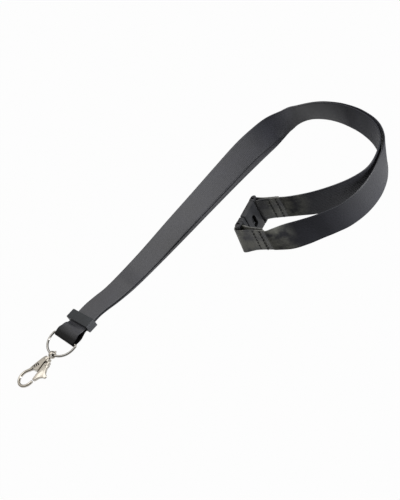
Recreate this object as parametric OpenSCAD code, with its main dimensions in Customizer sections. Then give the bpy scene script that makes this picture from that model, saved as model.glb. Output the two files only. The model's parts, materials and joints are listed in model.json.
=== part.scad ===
// Flat neck lanyard: one strap of webbing doubled through a keeper, a D ring with a
// swivel trigger hook at one end and a breakaway buckle at the other.
// Millimetres, +Z up, the table at z = 0. The origin is under the middle of the keeper,
// the hook lies towards -X and the neck loop stands on its edge towards +X.

/* [Strap] */
// Width of the webbing
strap_w = 20; // [18:0.5:22]
// Thickness of the webbing
strap_t = 1; // [0.7:0.05:1.1]
// Space between the two layers inside the keeper
layer_gap = 0.4; // [0.3:0.1:0.8]
// Length of each sewn end, from the buckle's bar to the end of the folded tail
sewn_l = 20; // [18:0.5:24]
// Distance from the bar to the first row of stitches
stitch_start = 11; // [9:0.5:12]
// Distance between the two rows of stitches
stitch_spacing = 5.5; // [3:0.5:6]
// Thickness of the sewing thread
thread_d = 0.5; // [0.3:0.1:0.6]
// Number of stitches in a row
stitch_count = 7; // [5:1:9]

/* [Keeper] */
// Length of the keeper along the strap
keeper_l = 8; // [6:0.5:10]
// Thickness of the keeper's two end walls
keeper_side = 1.8; // [1.2:0.1:2.4]
// Thickness of the keeper's top
keeper_roof = 2.4; // [1.6:0.1:2.8]
// Thickness of the keeper's floor
keeper_floor = 0.9; // [0.7:0.1:1.4]
// Free space over the strap and at its edges inside the keeper
keeper_clear = 0.7; // [0.5:0.1:0.9]

/* [D ring] */
// Wire thickness of the D ring
ring_wire = 2; // [1.6:0.1:2.4]
// Free space at each edge of the strap on the ring's bar
ring_side_clear = 1; // [0.6:0.1:1.4]
// Straight length of each side of the ring before it rounds
ring_leg = 3; // [1.2:0.2:4]
// Distance from the keeper's middle to the ring's bar
ring_reach = 18.2; // [17:0.2:22]
// Height of the strap's fold on the ring over the table
fold_lift = 0.2; // [0.1:0.1:1]
// Sideways tilt of the ring and of the strap's fold on it
ring_tilt = 10; // [4:1:14]

/* [Swivel] */
// Radius of the hole in the swivel eye
eye_hole_r = 1.8; // [1.8:0.1:2.2]
// Wall of the swivel eye
eye_bar = 1; // [0.8:0.1:1.3]
// Width of the swivel eye along its hole
eye_w = 2.8; // [2.4:0.2:3.2]
// Radius of the swivel stem
stem_r = 1.25; // [1:0.05:1.4]
// Length of the collar that the stem turns in
collar_l = 3; // [2.8:0.1:3.4]
// Place of the swivel round the ring, in degrees from the ring's middle
swivel_place = -4; // [-9:1:4]
// Turn of the swivel eye on the ring's wire within its play, in degrees
eye_slew = 12; // [8:1:14]

/* [Hook] */
// Distance from the swivel eye's centre to the centre of the hook's bend
hook_reach = 24.5; // [24:0.5:28]
// Radius of the hook's bend, to the middle of its wire
bend_r = 6.6; // [6:0.1:7]
// Radius of the hook's wire
arm_r = 1.15; // [1:0.05:1.4]
// Thickness of the hook's palm
palm_t = 3.9; // [3.7:0.1:4.1]
// Radius of the lever's pin
pin_r = 0.7; // [0.5:0.05:0.8]
// Wire thickness of the lever's spring
spring_wire = 0.3; // [0.2:0.02:0.32]

/* [Buckle] */
// Length of the socket half's body
socket_l = 15.5; // [14:0.5:18]
// Length of the plug half's shoulder
shoulder_l = 4.4; // [3.5:0.1:5]
// Thickness of the buckle
buckle_t = 4.2; // [4:0.1:5]
// Wall of the socket
socket_wall = 0.9; // [0.7:0.05:1]
// Thickness of the buckle's arms at each edge of the strap
buckle_arm = 1.7; // [1.4:0.1:2.4]
// Diameter of the bars that the strap is sewn round
bar_d = 2.2; // [1.8:0.1:2.4]
// Space between a bar and the body of its half
bar_slot = 2.2; // [2.1:0.1:2.8]
// Width of the latch window
window_w = 5; // [4:0.5:6]
// Height of the latch window
window_h = 10; // [8:0.5:12]

/* [Hidden] */
$fn = 48;

// Clearances
run_clear = 0.05;
soft_clear = 0.35;
flat_clear = 0.15;
seam_gap = 0.2;
strap_side_clear = 0.3;
butt_gap = 0.1;
table_gap = 0.06;
cut_gap = 0.3;
overlap = 0.4;

// Keeper
strap_rest = 0.4;
lower_z = keeper_floor + strap_rest + strap_t / 2;
upper_z = lower_z + strap_t + layer_gap;
keeper_h = upper_z + strap_t / 2 + keeper_clear + keeper_roof;
keeper_slot_w = strap_w + 2 * keeper_clear;
keeper_w = keeper_slot_w + 2 * keeper_side;
keeper_edge_r = 0.5;

// D ring and swivel
ring_r = strap_w / 2 + ring_side_clear + ring_wire / 2;
fold_r = ring_wire / 2 + soft_clear + strap_t / 2;
bar_z = strap_w / 2 * sin(ring_tilt) + fold_r + strap_t / 2 + fold_lift;
ring_aside = -1.4;
bar_at = [-ring_reach, ring_aside, bar_z];
bar_dir = [0, cos(ring_tilt), sin(ring_tilt)];
fold_up = [0, -sin(ring_tilt), cos(ring_tilt)];
eye_r = eye_hole_r + eye_bar;
collar_r = stem_r + 1.55;
pitch_room = 0.4;
eye_z = max(eye_r, collar_r + pitch_room) + table_gap;
ring_drop = asin((bar_z + ring_r * sin(swivel_place) * sin(ring_tilt) - eye_z)
    / ((ring_leg + ring_r * cos(swivel_place)) * cos(ring_tilt)));
ring_out = [-cos(ring_drop), 0, 0] - sin(ring_drop) * fold_up;
swivel_out = cos(swivel_place) * ring_out + sin(swivel_place) * bar_dir;
wire_at = bar_at + ring_leg * ring_out + ring_r * swivel_out;
hook_pitch = asin((eye_z - arm_r - table_gap) / (hook_reach + bend_r));
hook_yaw = atan2(swivel_out[1], -swivel_out[0]) + eye_slew;
hook_dir = [-cos(hook_pitch) * cos(hook_yaw), cos(hook_pitch) * sin(hook_yaw), -sin(hook_pitch)];
eye_gap = 0.7;
eye_at = wire_at + (eye_hole_r - ring_wire / 2 - eye_gap) * hook_dir;

// Hook, along its own axis u from the eye's centre and across it v
collar_start = eye_r + 0.3;
collar_end = collar_start + collar_l;
head_r = stem_r + 0.65;
head_l = 0.8;
head_seat = collar_end - head_l - 0.3;
bend_at = [hook_reach, -1.3];
palm_end = collar_end + 9.5;
arm_root = [palm_end + 0.6, -3.9];
root_way = arm_root - bend_at;
bend_from = atan2(root_way[1], root_way[0]) + acos(bend_r / norm(root_way));
bend_end = 95;
bend_start = bend_at + bend_r * [cos(bend_from), sin(bend_from)];
nose_at = bend_at + bend_r * [cos(bend_end), sin(bend_end)];
palm_skin = 0.55;
slot_t = palm_t - 2 * palm_skin;
lever_t = slot_t - 2 * flat_clear;
lever_r = 1.9;
lever_clear = 0.35;
pivot_at = [collar_end + lever_r + lever_clear + 0.1, 3.6];
lever_tip_l = 0.7;
lever_tip_at = [nose_at[0] - arm_r - lever_tip_l - lever_clear, nose_at[1]];
pin_head = 0.3;
pocket_r = pin_r + spring_wire + 0.5;

// Buckle, along its own axis x from the socket's strap end, its shown face at y = 0
buckle_at = [132.8, -72.6];
buckle_turn = 196;
buckle_w = strap_w + 2 * strap_side_clear + 2 * buckle_arm;
socket_bar_x = -bar_slot - bar_d / 2;
plug_bar_x = socket_l + shoulder_l + bar_slot + bar_d / 2;
plug_l = socket_l - 2.5;
plug_t = buckle_t - 2 * socket_wall - 2 * flat_clear;
plug_w = strap_w - 1;
buckle_edge_r = 0.8;
window_x = socket_l - 7;

// Sewn ends: each bar's place, and the way the strap leaves it
function turned(p, a) = [p[0] * cos(a) - p[1] * sin(a), p[0] * sin(a) + p[1] * cos(a)];
socket_bar_at = buckle_at + turned([socket_bar_x, -buckle_t / 2], buckle_turn);
plug_bar_at = buckle_at + turned([plug_bar_x, -buckle_t / 2], buckle_turn);
socket_leg = -63;
plug_leg = buckle_turn - 270;
strap_foot = buckle_arm + strap_side_clear;
hairpin_r = bar_d / 2 + soft_clear + strap_t / 2;
layer_off = (strap_t + seam_gap) / 2;
meet_at = 8;
tail_l = sewn_l - 1;

// Where each run leaves its sewn end: the shown layer of the two
socket_run_end = socket_bar_at + turned([sewn_l + butt_gap, -layer_off], socket_leg);
plug_run_end = plug_bar_at + turned([sewn_l + cut_gap, -layer_off], plug_leg);
socket_run_way = turned([1, 0], socket_leg);
plug_run_way = turned([1, 0], plug_leg);

// Routes of the two runs, as the strap lies: the lower edge's x, y and height over the table,
// and the strap's lean, 0 lying flat and 90 standing on its edge
half_w = strap_w / 2;
upper_foot = upper_z - strap_t / 2 - table_gap;
lower_foot = lower_z - strap_t / 2 - table_gap;
upper_route = concat(
    [for (x = [butt_gap, 6, 11]) [x, -half_w, upper_foot, 0]],
    [[17, -half_w - 0.2, upper_foot - 0.1, 0]],
    [[28, -12.6, 2.1, 1], [44, -15.3, 1.75, 4], [70, -17.4, 1.5, 9], [100, -18.4, 1.6, 15],
     [130, -19.4, 1.9, 21.5], [158, -20.4, 2.2, 29], [182, -21.7, 2.7, 38], [202, -24.2, 2.5, 52],
     [216, -25.8, 1.6, 74], [227, -27.2, 1, 92], [234, -34, 1, 99], [237.4, -45, 1, 95],
     [238.2, -57, 1, 88], [236.8, -70, 1, 81], [233.2, -86, 1, 75], [226.3, -103, 1, 70],
     [216, -117.6, 1, 74], [203.5, -128.3, 1, 85], [190.5, -132.2, 1, 91], [178, -128.3, 1, 94],
     [166.5, -119.7, 1, 95], [155.5, -108.2, 1.2, 95]],
    [for (d = [9, 0]) [each socket_run_end + d * socket_run_way, strap_foot - table_gap, 90]]);
lower_route = concat(
    [for (x = [butt_gap, 6, 11]) [x, -half_w, lower_foot, 0]],
    [[17, -half_w - 0.4, lower_foot - 0.15, 0]],
    [[28, -13.2, 0.6, 1], [44, -16.1, 0.25, 4], [70, -17.8, 0, 9], [100, -19.2, 0, 15],
     [130, -20.3, 0, 21.5], [158, -21.2, 0, 29], [182, -22.2, 0, 38], [202, -23.6, 0, 52],
     [217, -24, 0, 74], [228.3, -25.2, 0, 92], [236, -33, 0, 99], [239.6, -45, 0, 95],
     [240.3, -57, 0, 88], [239, -71, 0, 81], [235.3, -88, 0, 75], [228, -106, 0, 71],
     [217, -121.5, 0, 76.5], [204, -132.5, 0, 89], [191, -138.8, 0, 95], [179, -141.2, 0, 97],
     [167, -140.7, 0, 97], [155, -137, 0, 96], [146, -131.2, 0, 97], [138, -125, 0, 99],
     [129.2, -118.3, 0, 106], [121.3, -110.2, 0.3, 110]],
    [for (d = [3, 0]) [each plug_run_end + d * plug_run_way, strap_foot - table_gap, 90]]);
route_steps = 6;

// Smooth curve through a list of points
function spline(a, b, c, d, t) = 0.5 * (2 * b + (c - a) * t + (2 * a - 5 * b + 4 * c - d) * t * t
    + (3 * b - a - 3 * c + d) * t * t * t);
function at_end(pts, i) = pts[max(0, min(len(pts) - 1, i))];
function smooth(pts, steps) = concat(
    [for (i = [0:len(pts) - 2]) for (k = [0:steps - 1])
        spline(at_end(pts, i - 1), pts[i], pts[i + 1], at_end(pts, i + 2), k / steps)],
    [pts[len(pts) - 1]]);
function unit(v) = v / norm(v);
function way(pts, i) = unit(at_end(pts, i + 1) - at_end(pts, i - 1));

// Stations of a ribbon: the middle of the strap, and the way across it
function standing(route) = let (pts = smooth(route, route_steps), feet = [for (p = pts) [p[0], p[1], 0]])
    [for (i = [0:len(pts) - 1]) let (h = way(feet, i), lean = pts[i][3],
        across = [-h[1] * cos(lean), h[0] * cos(lean), sin(lean)],
        foot = [pts[i][0], pts[i][1], pts[i][2] + table_gap + strap_t / 2 * abs(cos(lean))])
        [foot + strap_w / 2 * across, across]];

// Flat strip of the strap's width and thickness, swept along its stations
module ribbon(stations) {
    n = len(stations);
    middles = [for (s = stations) s[0]];
    corners = [for (i = [0:n - 1]) let (c = stations[i][0], a = stations[i][1] * strap_w / 2,
        out = unit(cross(way(middles, i), stations[i][1])) * strap_t / 2)
        each [c - a - out, c - a + out, c + a + out, c + a - out]];
    sides = [for (i = [0:n - 2]) for (k = [0:3]) let (p = 4 * i + k, q = 4 * i + (k + 1) % 4)
        each [[p, q, q + 4], [p, q + 4, p + 4]]];
    ends = [[0, 3, 2], [0, 2, 1], [4 * n - 4, 4 * n - 3, 4 * n - 2], [4 * n - 4, 4 * n - 2, 4 * n - 1]];
    polyhedron(corners, concat(sides, ends));
}

// Outline of a strip of the strap's thickness along a flat path
module strip_outline(path) {
    last = len(path) - 1;
    off = [for (i = [0:last]) let (h = way(path, i)) [-h[1], h[0]] * strap_t / 2];
    polygon(concat([for (i = [0:last]) path[i] + off[i]], [for (i = [last:-1:0]) path[i] - off[i]]));
}

// Rectangle with round corners
module rounded_outline(size, r) {
    translate([r, 0]) square([size[0] - 2 * r, size[1]]);
    translate([0, r]) square([size[0], size[1] - 2 * r]);
    for (x = [r, size[0] - r], y = [r, size[1] - r]) translate([x, y]) circle(r);
}

module at_ring() {
    multmatrix([[-cos(ring_drop), 0, -sin(ring_drop), bar_at[0]],
        [-sin(ring_drop) * fold_up[1], bar_dir[1], cos(ring_drop) * fold_up[1], bar_at[1]],
        [-sin(ring_drop) * fold_up[2], bar_dir[2], cos(ring_drop) * fold_up[2], bar_at[2]],
        [0, 0, 0, 1]]) children();
}
module at_hook() {
    translate(eye_at) rotate([0, 0, -hook_yaw]) rotate([0, -hook_pitch, 0]) rotate([0, 0, 180]) children();
}
module at_buckle() {
    translate([buckle_at[0], buckle_at[1], 0]) rotate([0, 0, buckle_turn]) children();
}
module at_sewn(bar, leg) {
    translate([bar[0], bar[1], strap_foot]) rotate([0, 0, leg]) children();
}

// Strap
module strap_upper_run() {
    color("dimgray") ribbon(standing(upper_route));
}
module strap_lower_run() {
    color("dimgray") ribbon(standing(lower_route));
}
module strap_ring_loop() {
    front = keeper_l / 2 + 2;
    arc = [for (a = [90:22.5:270]) bar_at + fold_r * (cos(a) * [1, 0, 0] + sin(a) * fold_up)];
    leg = ring_reach - front;
    bulge = 1.1;
    low_ease = 0.55;
    // The top layer swells between the keeper and the fold, its lean easing into the ring's tilt
    top = [for (t = [0.3, 0.65]) [
        [-front - t * leg, bar_at[1] * t, upper_z + t * (bar_z + fold_r - upper_z) + bulge * sin(180 * t)],
        [0, cos(t * ring_tilt), sin(t * ring_tilt)]]];
    low_mid = [-front - leg / 2, bar_at[1] - 1.5, half_w * sin(low_ease * ring_tilt) + strap_t / 2 + fold_lift];
    color("dimgray") ribbon(concat(
        [[[0, 0, upper_z], [0, 1, 0]], [[-front, 0, upper_z], [0, 1, 0]]], top,
        [for (p = arc) [p, bar_dir]],
        [[low_mid, [0, cos(low_ease * ring_tilt), sin(low_ease * ring_tilt)]],
            [[-front, 0, lower_z], [0, 1, 0]], [[0, 0, lower_z], [0, 1, 0]]]));
}
module sewn_end() {
    bend = acos(hairpin_r / norm([meet_at, layer_off])) + atan2(layer_off, meet_at);
    path = concat([[sewn_l, -layer_off], [meet_at, -layer_off]],
        [for (k = [0:12]) let (a = -bend - k * (360 - 2 * bend) / 12) hairpin_r * [cos(a), sin(a)]],
        [[meet_at, layer_off], [tail_l, layer_off]]);
    linear_extrude(strap_w) strip_outline(path);
}
module stitch_rows() {
    face = layer_off + strap_t / 2;
    pitch = strap_w / stitch_count;
    for (row = [0, 1], side = [-1, 1], i = [0:stitch_count - 1])
        translate([stitch_start + row * stitch_spacing, side * (face + thread_d / 2), (i + 0.2) * pitch])
            cylinder(d = thread_d, h = 0.6 * pitch, $fn = 16);
}
module strap_end_socket() {
    color("dimgray") at_sewn(socket_bar_at, socket_leg) sewn_end();
}
module strap_end_plug() {
    color("dimgray") at_sewn(plug_bar_at, plug_leg) sewn_end();
}
module stitching_socket() {
    color("black") at_sewn(socket_bar_at, socket_leg) stitch_rows();
}
module stitching_plug() {
    color("black") at_sewn(plug_bar_at, plug_leg) stitch_rows();
}

// Keeper
module keeper() {
    slot_h = keeper_h - keeper_roof - keeper_floor;
    color("darkslategray") translate([-keeper_l / 2, 0, 0]) rotate([90, 0, 90]) linear_extrude(keeper_l)
        difference() {
            translate([-keeper_w / 2, 0]) rounded_outline([keeper_w, keeper_h], keeper_edge_r);
            translate([-keeper_slot_w / 2, keeper_floor]) square([keeper_slot_w, slot_h]);
        }
}

// D ring, of bent wire
module d_ring() {
    color("silver") at_ring() {
        translate([ring_leg, 0, 0]) rotate([0, 0, -90]) rotate_extrude(angle = 180)
            translate([ring_r, 0]) circle(d = ring_wire);
        rotate([90, 0, 0]) cylinder(d = ring_wire, h = 2 * ring_r, center = true);
        for (s = [-1, 1]) translate([0, s * ring_r, 0]) {
            sphere(d = ring_wire);
            rotate([0, 90, 0]) cylinder(d = ring_wire, h = ring_leg);
        }
    }
}

// Swivel eye with its stem and peened head
module swivel_eye() {
    color("silver") at_hook() {
        difference() {
            rotate([90, 0, 0]) cylinder(r = eye_r, h = eye_w, center = true);
            rotate([90, 0, 0]) cylinder(r = eye_hole_r, h = eye_w + 2, center = true);
        }
        difference() {
            rotate([0, 90, 0]) cylinder(r = stem_r, h = head_seat + run_clear + overlap);
            rotate([90, 0, 0]) cylinder(r = eye_hole_r + overlap, h = eye_w + 2, center = true);
        }
        translate([head_seat + 2 * run_clear, 0, 0]) rotate([0, 90, 0]) cylinder(r = head_r, h = head_l);
    }
}

// Hook body: collar, palm slotted for the lever and open over it, and the bent arm
module hook_body() {
    palm = [[collar_start + 0.5, -2.4], [collar_end - 0.6, -3.3], [collar_end + 5, -4.3], [palm_end + 0.6, -5],
        [palm_end + 1.7, -5.2], [palm_end + 1.5, -2.6], [palm_end + 0.6, 0.2], [palm_end - 0.9, 3.2],
        pivot_at + [2.2, 1], pivot_at + [1.2, 1.9], pivot_at + [-1.2, 1.9], pivot_at + [-2.1, 0.4],
        [collar_end - 0.3, 2.7], [collar_start + 0.5, 2.2]];
    room = lever_r + lever_clear;
    past = [palm_end + 2, pivot_at[1] + 10];
    swing = [past, [collar_start + 0.5, past[1]], [collar_start + 0.5, collar_r + 0.2],
        [pivot_at[0] - room, collar_r + 0.2], pivot_at - room * [1, 1], pivot_at - room * [0, 1],
        pivot_at + [5.2, -2.9], [past[0], -0.2]];
    open_top = [past + [1, 1], [collar_start, past[1] + 1], [collar_start, collar_r + 0.1],
        pivot_at + [-2.4, -0.6], pivot_at + [-2.4, -1.6], pivot_at + [-1.6, -2.1], pivot_at + [0.2, -2.1],
        pivot_at + [5.4, -0.95], [past[0] + 1, 3.6]];
    arm_len = norm(bend_start - arm_root);
    arm_turn = atan2(bend_start[1] - arm_root[1], bend_start[0] - arm_root[0]);
    color("silver") at_hook() difference() {
        union() {
            translate([collar_start, 0, 0]) rotate([0, 90, 0]) cylinder(r = collar_r, h = collar_l);
            linear_extrude(palm_t, center = true) polygon(palm);
            translate([arm_root[0], arm_root[1], 0]) rotate([0, 90, arm_turn])
                cylinder(r1 = arm_r + 0.4, r2 = arm_r - 0.03, h = arm_len + overlap);
            translate([bend_at[0], bend_at[1], 0]) rotate([0, 0, bend_from])
                rotate_extrude(angle = bend_end - bend_from) translate([bend_r, 0]) circle(arm_r);
            translate([nose_at[0], nose_at[1], 0]) sphere(arm_r);
        }
        translate([collar_start - 1, 0, 0]) rotate([0, 90, 0]) cylinder(r = stem_r + run_clear, h = collar_l + 1);
        translate([head_seat, 0, 0]) rotate([0, 90, 0]) cylinder(r = head_r + 0.2, h = head_l + 0.25);
        linear_extrude(slot_t, center = true) polygon(swing);
        translate([0, 0, lever_t / 2]) linear_extrude(palm_t) polygon(open_top);
        translate([pivot_at[0], pivot_at[1], -palm_t]) cylinder(r = pin_r, h = 2 * palm_t);
    }
}

// Lever: the gate on its pin, with a heel by the collar, a thumb tab and a pocket for its spring
module hook_lever() {
    outline = [pivot_at + [-0.3, -1.85], pivot_at + [5.5, -0.6], lever_tip_at + [-0.3, -0.9],
        lever_tip_at + [0.5, -0.7], lever_tip_at + [lever_tip_l, 0.3], lever_tip_at + [0, 1.2],
        pivot_at + [9.5, 4.4], pivot_at + [8, 6.4], pivot_at + [7, 9], pivot_at + [5, 8.6], pivot_at + [4.2, 5.6],
        pivot_at + [0.8, 2.7], pivot_at + [-1.2, 1.8], pivot_at + [-3.4, 1.5], pivot_at + [-3.4, -0.1],
        pivot_at + [-1.7, -0.4], pivot_at + [-1.5, -1.1]];
    color("silver") at_hook() difference() {
        linear_extrude(lever_t, center = true) polygon(outline);
        translate([pivot_at[0], pivot_at[1], -palm_t]) cylinder(r = pin_r + run_clear, h = 2 * palm_t);
        translate([pivot_at[0], pivot_at[1], -palm_t]) cylinder(r = pocket_r, h = palm_t);
    }
}
module lever_pin() {
    color("silver") at_hook() translate([pivot_at[0], pivot_at[1], -palm_t / 2 - pin_head])
        cylinder(r = pin_r, h = (palm_t + lever_t) / 2 + 2 * pin_head);
}
// Torsion spring round the lever's pin, in the lever's pocket
module lever_spring() {
    coil_r = pin_r + 0.25 + spring_wire / 2;
    low = -slot_t / 2 + 0.1 + spring_wire / 2;
    high = -0.1 - spring_wire / 2;
    turns = 1.5;
    rings = 24;
    sides = 6;
    points = [for (i = [0:rings], k = [0:sides - 1]) let (a = 360 * turns * i / rings, b = 360 * k / sides)
        [(coil_r + spring_wire / 2 * cos(b)) * cos(a), (coil_r + spring_wire / 2 * cos(b)) * sin(a),
            low + (high - low) * i / rings + spring_wire / 2 * sin(b)]];
    wall = [for (i = [0:rings - 1], k = [0:sides - 1]) let (p = sides * i + k, q = sides * i + (k + 1) % sides)
        each [[p, q + sides, q], [p, p + sides, q + sides]]];
    cap = [for (k = [1:sides - 2]) each [[0, k, k + 1],
        [sides * rings, sides * rings + k + 1, sides * rings + k]]];
    color("gray") at_hook() translate([pivot_at[0], pivot_at[1], 0]) polyhedron(points, concat(wall, cap));
}

// Buckle
module buckle_section(from, length) {
    translate([from, 0, 0]) rotate([90, 0, 90]) linear_extrude(length)
        translate([-buckle_t, 0]) rounded_outline([buckle_t, buckle_w], buckle_edge_r);
}
// Two arms and a bar for the strap, between x = from and the bar
module strap_bar(from, bar_x) {
    arm_l = abs(bar_x - from);
    for (z = [0, buckle_w - buckle_arm]) {
        translate([min(from, bar_x), -buckle_t, z]) cube([arm_l, buckle_t, buckle_arm]);
        translate([bar_x, -buckle_t / 2, z]) cylinder(d = buckle_t, h = buckle_arm);
    }
    translate([bar_x, -buckle_t / 2, 0]) cylinder(d = bar_d, h = buckle_w);
}
module buckle_socket() {
    mouth = plug_l + 0.5;
    color("#303236") at_buckle() {
        difference() {
            buckle_section(0, socket_l);
            translate([socket_l - mouth, -buckle_t + socket_wall, (buckle_w - plug_w) / 2 - flat_clear])
                cube([mouth + 1, buckle_t - 2 * socket_wall, plug_w + 2 * flat_clear]);
            translate([window_x, 0, buckle_w / 2]) rotate([90, 0, 0]) linear_extrude(2 * socket_wall, center = true) {
                for (s = [-1, 1]) translate([0, s * (window_h - window_w) / 2]) circle(d = window_w);
                square([window_w, window_h - window_w], center = true);
            }
        }
        strap_bar(0, socket_bar_x);
    }
}
module buckle_plug() {
    latch_w = 5;
    slit = 1;
    color("#303236") at_buckle() {
        buckle_section(socket_l + flat_clear, shoulder_l - flat_clear);
        difference() {
            translate([socket_l - plug_l, -(buckle_t + plug_t) / 2, (buckle_w - plug_w) / 2])
                cube([plug_l + flat_clear + overlap, plug_t, plug_w]);
            for (s = [-1, 1]) translate([socket_l - plug_l - 1, -buckle_t, buckle_w / 2 + s * latch_w / 2 - slit / 2])
                cube([plug_l - 2, buckle_t, slit]);
        }
        strap_bar(socket_l + shoulder_l, plug_bar_x);
    }
}

strap_upper_run();
strap_lower_run();
strap_ring_loop();
strap_end_socket();
strap_end_plug();
stitching_socket();
stitching_plug();
keeper();
d_ring();
swivel_eye();
hook_body();
hook_lever();
lever_pin();
lever_spring();
buckle_socket();
buckle_plug();
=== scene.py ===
"""Flat neck lanyard: woven strap, keeper, D ring, swivel trigger hook and breakaway buckle."""
import json
import math

import bmesh
import bpy
from mathutils import Matrix, Vector


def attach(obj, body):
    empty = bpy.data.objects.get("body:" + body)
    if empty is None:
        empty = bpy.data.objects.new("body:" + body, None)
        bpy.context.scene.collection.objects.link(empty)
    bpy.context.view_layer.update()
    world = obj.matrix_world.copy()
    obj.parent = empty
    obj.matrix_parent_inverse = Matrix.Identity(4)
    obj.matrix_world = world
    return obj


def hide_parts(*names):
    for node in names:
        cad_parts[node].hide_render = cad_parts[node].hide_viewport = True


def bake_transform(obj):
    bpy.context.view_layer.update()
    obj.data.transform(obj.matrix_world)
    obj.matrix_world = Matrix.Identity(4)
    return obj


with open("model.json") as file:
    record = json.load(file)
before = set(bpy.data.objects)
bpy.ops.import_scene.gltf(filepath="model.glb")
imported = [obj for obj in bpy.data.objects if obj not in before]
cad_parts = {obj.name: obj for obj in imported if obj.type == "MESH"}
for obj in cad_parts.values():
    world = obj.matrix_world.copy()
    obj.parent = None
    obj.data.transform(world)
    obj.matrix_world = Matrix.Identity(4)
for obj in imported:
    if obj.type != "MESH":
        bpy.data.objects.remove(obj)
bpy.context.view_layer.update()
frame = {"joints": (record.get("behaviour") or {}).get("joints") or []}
JOINTS = {joint["name"]: joint for joint in frame["joints"]}

bl_info = {
    "name": "Neck lanyard",
    "version": (1, 0, 0),
    "blender": (4, 5, 0),
    "location": "3D View > Sidebar > Lanyard",
    "description": "Builds the strap, fittings and studio of a flat neck lanyard",
    "category": "Object",
}

MM = 0.001
UP = Vector((0, 0, 1))


# Sizes and colours that a user would change

def linear(hex_colour):
    """An sRGB hex colour as linear red, green and blue."""
    parts = [int(hex_colour[i:i + 2], 16) / 255 for i in (1, 3, 5)]
    return [p / 12.92 if p <= 0.04045 else ((p + 0.055) / 1.055) ** 2.4 for p in parts]


def colour(name, description, hex_colour):
    """A colour property with its default from a hex value."""
    return bpy.props.FloatVectorProperty(
        name=name, description=description, default=linear(hex_colour), subtype="COLOR", min=0, max=1)


def length(name, description, millimetres):
    """A length property with its default in millimetres."""
    return bpy.props.FloatProperty(
        name=name, description=description, default=millimetres * MM, unit="LENGTH")


class LanyardSizes(bpy.types.PropertyGroup):
    """Sizes of the lanyard's soft parts and small details."""
    strap_width: length("Strap width", "Width of the webbing", 20)
    strap_thickness: length("Strap thickness", "Thickness of the webbing at its middle", 0.75)
    selvedge: length("Selvedge", "Width of the firmer woven edge on each side of the webbing", 0.9)
    thread_spacing: length(
        "Thread spacing", "Distance between the webbing's ribs, drawn coarse enough to show", 1.3)
    thread_thickness: length("Thread thickness", "Thickness of the sewing thread", 0.75)
    stitch_count: bpy.props.IntProperty(
        name="Stitches in a row", description="Stitches across the strap", default=7)
    rib_spacing: length("Rib spacing", "Distance between the fine ribs on the keeper's ends", 1.1)


class LanyardColours(bpy.types.PropertyGroup):
    """Colours of the lanyard's materials and of its studio."""
    webbing: colour("Webbing", "Charcoal polyester webbing", "#3c3d44")
    webbing_dark: colour("Webbing shade", "The darker threads of the webbing", "#343539")
    sewn_webbing: colour("Sewn webbing", "Webbing scuffed pale at the sewn ends", "#82837d")
    # Painted shade: the webbing's colour where it folds round the ring, darker than the webbing
    fold_shade_webbing: colour("Rubbed webbing", "Webbing rubbed dark where it folds round the ring", "#121213")
    thread: colour("Thread", "Sewing thread", "#141516")
    thread_light: colour("Thread light", "The lighter strands in the thread's twist", "#2a2b2c")
    keeper: colour("Keeper", "Plastic of the keeper", "#2a2d31")
    # Painted light: the keeper's end faces painted paler than its top
    keeper_lit_ends: colour("Keeper ends", "Scuffed plastic on the keeper's two ends", "#5c5e62")
    buckle: colour("Buckle", "Plastic of the buckle", "#313235")
    nickel: colour("Nickel", "Nickel plating", "#b9b4ab")
    # Painted shade: a darker copy of the nickel, so that the thin wire comes out as dark as its shading
    wire: colour("Ring wire", "Nickel plating of the ring's wire", "#94928e")
    # Painted shade: dark nickel in and beside the palm's grooves
    tarnish: colour("Tarnish", "Nickel gone dark in and beside the palm's grooves", "#1d1b19")
    spring: colour("Spring wire", "Bare spring steel", "#8d8e90")
    floor: colour("Floor", "Studio floor as it is seen", "#ffffff")
    floor_shade: colour("Floor shade", "Studio floor as it throws light back on the lanyard", "#5a5a5a")
    surround: colour("Surround", "Dark sides of the studio", "#2b2824")
    ceiling: colour("Ceiling", "Pale ceiling of the studio", "#f2efea")


def sizes():
    return bpy.context.scene.lanyard_sizes


def colours():
    return bpy.context.scene.lanyard_colours


# Nodes and materials

# Sizes of the patterns in millimetres, the fuzz and the grain drawn coarse enough to show
SHADE_PATCH = 18.2
FIBRE_FUZZ = 1.11
SCUFF_PATCH = 7.14
THREAD_TWIST = 0.9
MOULD_GRAIN = 0.4
MOULD_FLOW = 7.14
PLATE_CLOUD = 3.33
# Bands that a wave texture draws along one unit of an axis at a scale of 1
WAVE_BANDS = 10 / (2 * math.pi)
# Lowest and highest value that a noise reaches on most of a surface
NOISE_SPAN = (0.3, 0.7)

# Shine of the webbing, and where along it in millimetres the shine changes and by how much: it is duller
# at a crease, at the twist, through the standing turn and towards the sewn end
SHINE = 0.45
SHINE_CHANGES = (
    (41, 45, -0.12), (50, 57, 0.12), (188, 206, -0.4), (208, 226, 0.4), (238, 278, -0.41),
    (344, 362, 0.41), (385, 420, -0.41))
# Painted shade: the fold round the ring is painted dark, and made dull, between these lengths from the
# keeper
FOLD_SHADE_FROM = 9
FOLD_SHADE_FULL = 17
FOLD_SHADE_SHINE = 0.08
# Painted light: the keeper's two end faces are painted paler than the rest, in a layer this deep
KEEPER_HALF_W = 12.5
LIT_END_DEPTH = 0.3


def node(tree, kind, inputs=(), **settings):
    """Add a node with its settings, and set or link its inputs, given in order or by name.

    A node among the inputs stands for its first output. In order, Map Range takes its value, the two ends
    of the range and what they become, and Mix takes its share and the two colours.
    """
    made = tree.nodes.new(kind)
    for name, value in settings.items():
        setattr(made, name, value)
    if isinstance(inputs, dict):
        pairs = [(made.inputs[name], value) for name, value in inputs.items()]
    else:
        pairs = list(zip([socket for socket in made.inputs if socket.enabled], inputs))
    for socket, value in pairs:
        if isinstance(value, bpy.types.Node):
            value = next(output for output in value.outputs if output.enabled)
        if isinstance(value, bpy.types.NodeSocket):
            tree.links.new(value, socket)
        else:
            socket.default_value = value
    return made


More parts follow.
